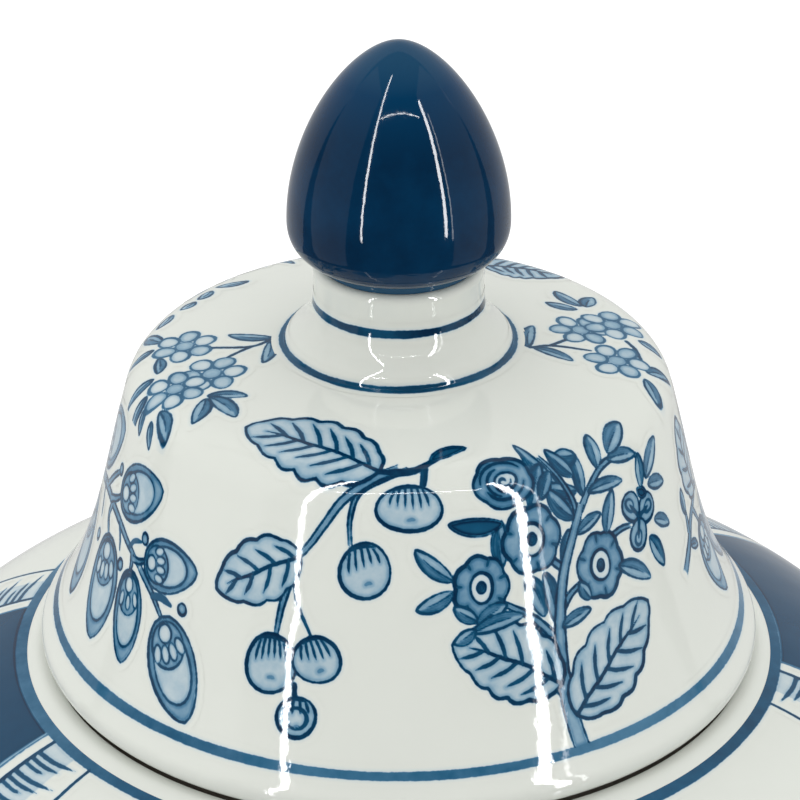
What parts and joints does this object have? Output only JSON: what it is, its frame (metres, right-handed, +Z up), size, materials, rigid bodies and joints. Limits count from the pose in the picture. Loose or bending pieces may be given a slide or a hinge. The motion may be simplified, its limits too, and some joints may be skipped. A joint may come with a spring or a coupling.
{
  "type": "ginger jar",
  "caption": "Covered ginger jar with a bell-shaped lid that drops over a hidden collar and an acorn knob on a short stem.",
  "frame": {"origin": "on the axis, at the underside of the foot", "axes": "+Z up along the jar's axis; -Y is the front of the painted decoration"},
  "size_m": [0.256, 0.256, 0.4506],
  "materials": {
    "white_glaze_jar": "gloss, hand-painted in cobalt under the glaze",
    "white_glaze_lid": "gloss, hand-painted in cobalt under the glaze",
    "navy_glaze": "high gloss"
  },
  "bodies": {
    "jar": {"jar_body": "white_glaze_jar"},
    "lid": {"lid_shell": "white_glaze_lid", "finial": "navy_glaze"}
  },
  "joints": [
    {"name": "lid_lift", "type": "slide", "parent": "jar", "child": "lid", "axis": [0, 0, 1], "range_m": [0, 0.14]}
  ]
}
